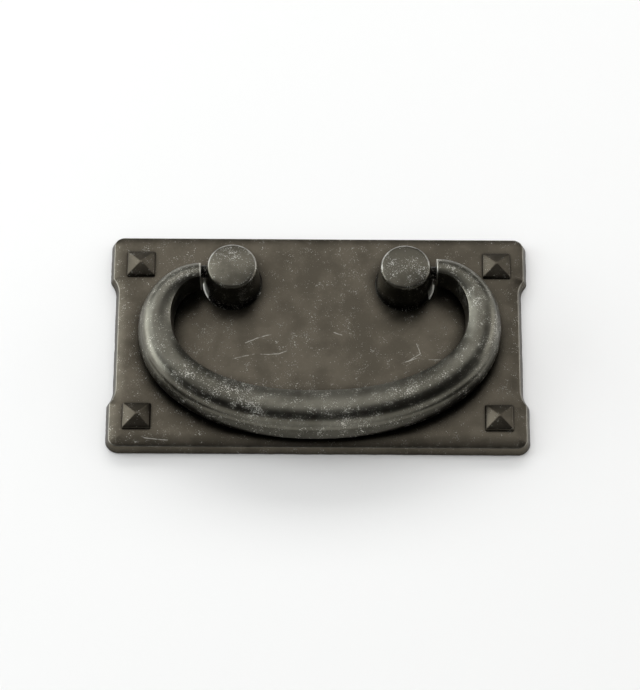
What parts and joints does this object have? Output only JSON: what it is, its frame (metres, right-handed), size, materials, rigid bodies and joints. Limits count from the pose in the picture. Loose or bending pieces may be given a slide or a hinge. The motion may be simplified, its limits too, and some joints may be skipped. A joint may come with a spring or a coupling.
{
  "type": "cabinet pull",
  "caption": "Bail pull for a drawer: waisted backplate with pyramid studs, staked posts and a swinging crowned bail.",
  "frame": {"origin": "middle of the backplate's back face, which rests on the drawer front", "axes": "+X along the plate's width, +Y towards its top edge, +Z out of the drawer front"},
  "size_m": [0.102, 0.0588, 0.013],
  "materials": {
    "plate_bronze": "oiled dark bronze patina on cast metal, satin",
    "post_bronze": "dark bronze patina, rubbed on the rim",
    "bail_bronze": "dark bronze patina, rubbed along the crown"
  },
  "bodies": {
    "mounting": {"backplate": "plate_bronze", "left_post": "post_bronze", "right_post": "post_bronze"},
    "swinging_bail": {"bail": "bail_bronze"}
  },
  "joints": [
    {"name": "bail_swing", "type": "hinge", "parent": "mounting", "child": "swinging_bail", "pos_m": [0, 0.01545, 0.0092], "axis": [-1, 0, 0], "range_deg": [0, 180]}
  ]
}
